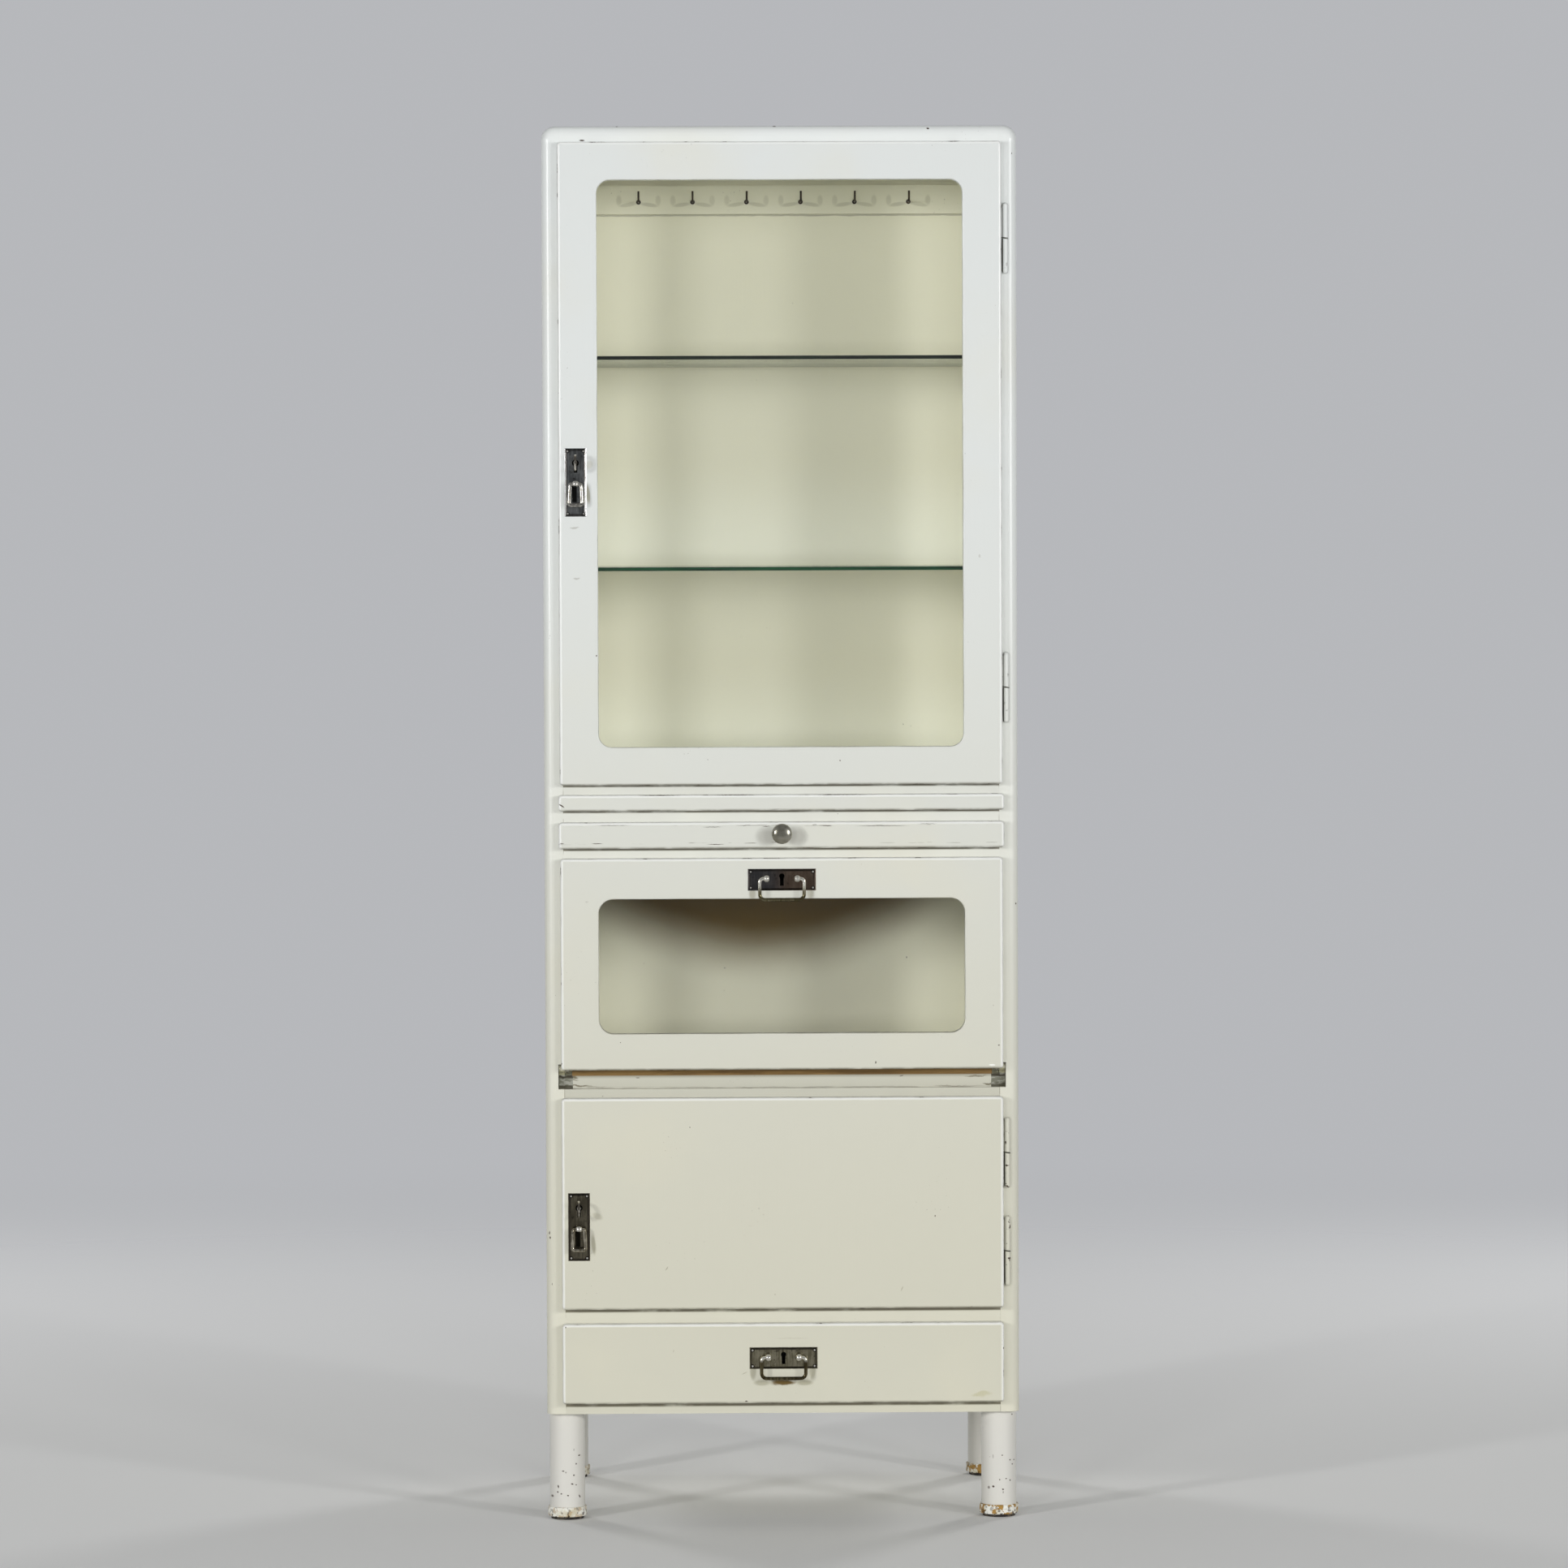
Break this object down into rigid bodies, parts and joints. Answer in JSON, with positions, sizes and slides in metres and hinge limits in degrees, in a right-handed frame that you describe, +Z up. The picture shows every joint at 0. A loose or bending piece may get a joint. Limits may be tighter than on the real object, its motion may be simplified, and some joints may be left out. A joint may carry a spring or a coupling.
{
  "type": "medical cabinet",
  "caption": "Tall medical cabinet on round legs with a glazed door, pull-out board, shallow tray, glazed fall flap, solid door and drawer, with locks and hinged pulls.",
  "frame": {"origin": "on the floor under the centre of the bounding box", "axes": "+X to the right seen from the front, +Y into the cabinet, +Z up"},
  "size_m": [0.59, 0.464, 1.737],
  "materials": {
    "paint": "old gloss paint on wood",
    "bare_wood": "unpainted wood",
    "hinge_paint": "painted over, worn at the ends",
    "pane": "clear window glass",
    "shelf_glass": "clear plate glass with green edges",
    "nickel": "worn nickel plate",
    "key_steel": "worn steel",
    "lock_steel": "plain steel",
    "hook_iron": "dark brown enamel",
    "ferrule": "chipped paint",
    "glide": "worn rubber"
  },
  "bodies": {
    "carcass": {"left_side": "paint", "right_side": "paint", "top_board": "paint", "upper_floor": "paint", "board_shelf": "paint", "tray_shelf": "paint", "flap_floor": "paint", "lower_floor": "paint", "bottom_board": "paint", "back_panel": "paint", "hook_rail": "paint", "rail_hooks": "hook_iron", "shelf_pegs": "bare_wood", "upper_shelf": "shelf_glass", "lower_shelf": "shelf_glass", "legs": "paint", "leg_ferrules": "ferrule", "leg_glides": "glide", "hinge_frame_leaves": "hinge_paint", "strike_plates": "lock_steel", "flap_pivot_brackets": "lock_steel", "stay_keepers": "lock_steel"},
    "upper_door": {"upper_door_frame": "paint", "upper_door_glass": "pane", "upper_door_beads": "paint", "upper_door_lock_plate": "nickel", "upper_door_lock_case": "lock_steel", "upper_door_hinge_leaves": "hinge_paint"},
    "upper_ring_pull": {"upper_door_pull": "nickel"},
    "upper_key": {"upper_door_key": "key_steel"},
    "upper_bolt": {"upper_door_bolt": "lock_steel"},
    "slide_board": {"pull_out_board": "paint"},
    "tray": {"tray_front": "paint", "tray_rim": "bare_wood", "tray_bottom": "bare_wood", "tray_knob": "nickel"},
    "flap": {"flap_frame": "paint", "flap_glass": "pane", "flap_beads": "paint", "flap_lock_plate": "nickel", "flap_lock_case": "lock_steel", "flap_pivot_arms": "lock_steel", "flap_stays": "lock_steel"},
    "flap_handle": {"flap_bail": "nickel"},
    "flap_lock_bolt": {"flap_bolt": "lock_steel"},
    "lower_door": {"lower_door_panel": "paint", "lower_door_lock_plate": "nickel", "lower_door_lock_case": "lock_steel", "lower_door_hinge_leaves": "hinge_paint"},
    "lower_ring_pull": {"lower_door_pull": "nickel"},
    "lower_key": {"lower_door_key": "key_steel"},
    "lower_bolt": {"lower_door_bolt": "lock_steel"},
    "drawer": {"drawer_front": "paint", "drawer_sides": "bare_wood", "drawer_back": "bare_wood", "drawer_bottom": "bare_wood", "drawer_lock_plate": "nickel", "drawer_lock_case": "lock_steel"},
    "drawer_handle": {"drawer_bail": "nickel"},
    "drawer_lock_bolt": {"drawer_bolt": "lock_steel"}
  },
  "joints": [
    {"name": "upper_door_hinge", "type": "hinge", "parent": "carcass", "child": "upper_door", "pos_m": [0.28, -0.1945, 1.318], "axis": [0, 0, 1], "range_deg": [0, 120]},
    {"name": "upper_ring_pull_pivot", "type": "hinge", "parent": "upper_door", "child": "upper_ring_pull", "pos_m": [-0.2538, -0.214, 1.2935], "axis": [-1, 0, 0], "range_deg": [-10, 90]},
    {"name": "upper_key_turn", "type": "hinge", "parent": "upper_door", "child": "upper_key", "pos_m": [-0.2538, -0.21, 1.3195], "axis": [0, 1, 0], "range_deg": [0, 360]},
    {"name": "upper_bolt_slide", "type": "slide", "parent": "upper_door", "child": "upper_bolt", "axis": [-1, 0, 0], "range_m": [0, 0.009]},
    {"name": "slide_board_pull", "type": "slide", "parent": "carcass", "child": "slide_board", "axis": [0, -1, 0], "range_m": [0, 0.25]},
    {"name": "tray_slide", "type": "slide", "parent": "carcass", "child": "tray", "axis": [0, -1, 0], "range_m": [0, 0.28]},
    {"name": "flap_pivot", "type": "hinge", "parent": "carcass", "child": "flap", "pos_m": [0, -0.18, 0.5655], "axis": [1, 0, 0], "range_deg": [0, 90]},
    {"name": "flap_handle_pivot", "type": "hinge", "parent": "flap", "child": "flap_handle", "pos_m": [0, -0.215, 0.8034], "axis": [-1, 0, 0], "range_deg": [-15, 90]},
    {"name": "flap_bolt_slide", "type": "slide", "parent": "flap", "child": "flap_lock_bolt", "axis": [0, 0, 1], "range_m": [0, 0.009]},
    {"name": "lower_door_hinge", "type": "hinge", "parent": "carcass", "child": "lower_door", "pos_m": [0.28, -0.1945, 0.398], "axis": [0, 0, 1], "range_deg": [0, 120]},
    {"name": "lower_ring_pull_pivot", "type": "hinge", "parent": "lower_door", "child": "lower_ring_pull", "pos_m": [-0.2538, -0.214, 0.368], "axis": [-1, 0, 0], "range_deg": [-10, 90]},
    {"name": "lower_key_turn", "type": "hinge", "parent": "lower_door", "child": "lower_key", "pos_m": [-0.2538, -0.21, 0.394], "axis": [0, 1, 0], "range_deg": [0, 360]},
    {"name": "lower_bolt_slide", "type": "slide", "parent": "lower_door", "child": "lower_bolt", "axis": [-1, 0, 0], "range_m": [0, 0.009]},
    {"name": "drawer_slide", "type": "slide", "parent": "carcass", "child": "drawer", "axis": [0, -1, 0], "range_m": [0, 0.29]},
    {"name": "drawer_handle_pivot", "type": "hinge", "parent": "drawer", "child": "drawer_handle", "pos_m": [0, -0.215, 0.2067], "axis": [-1, 0, 0], "range_deg": [-15, 90]},
    {"name": "drawer_bolt_slide", "type": "slide", "parent": "drawer", "child": "drawer_lock_bolt", "axis": [0, 0, 1], "range_m": [0, 0.009]}
  ],
  "couplings": [
    {"joint": "upper_bolt_slide", "follows": "upper_key_turn", "m_per_rad": 0.0014323},
    {"joint": "lower_bolt_slide", "follows": "lower_key_turn", "m_per_rad": 0.0014323}
  ]
}
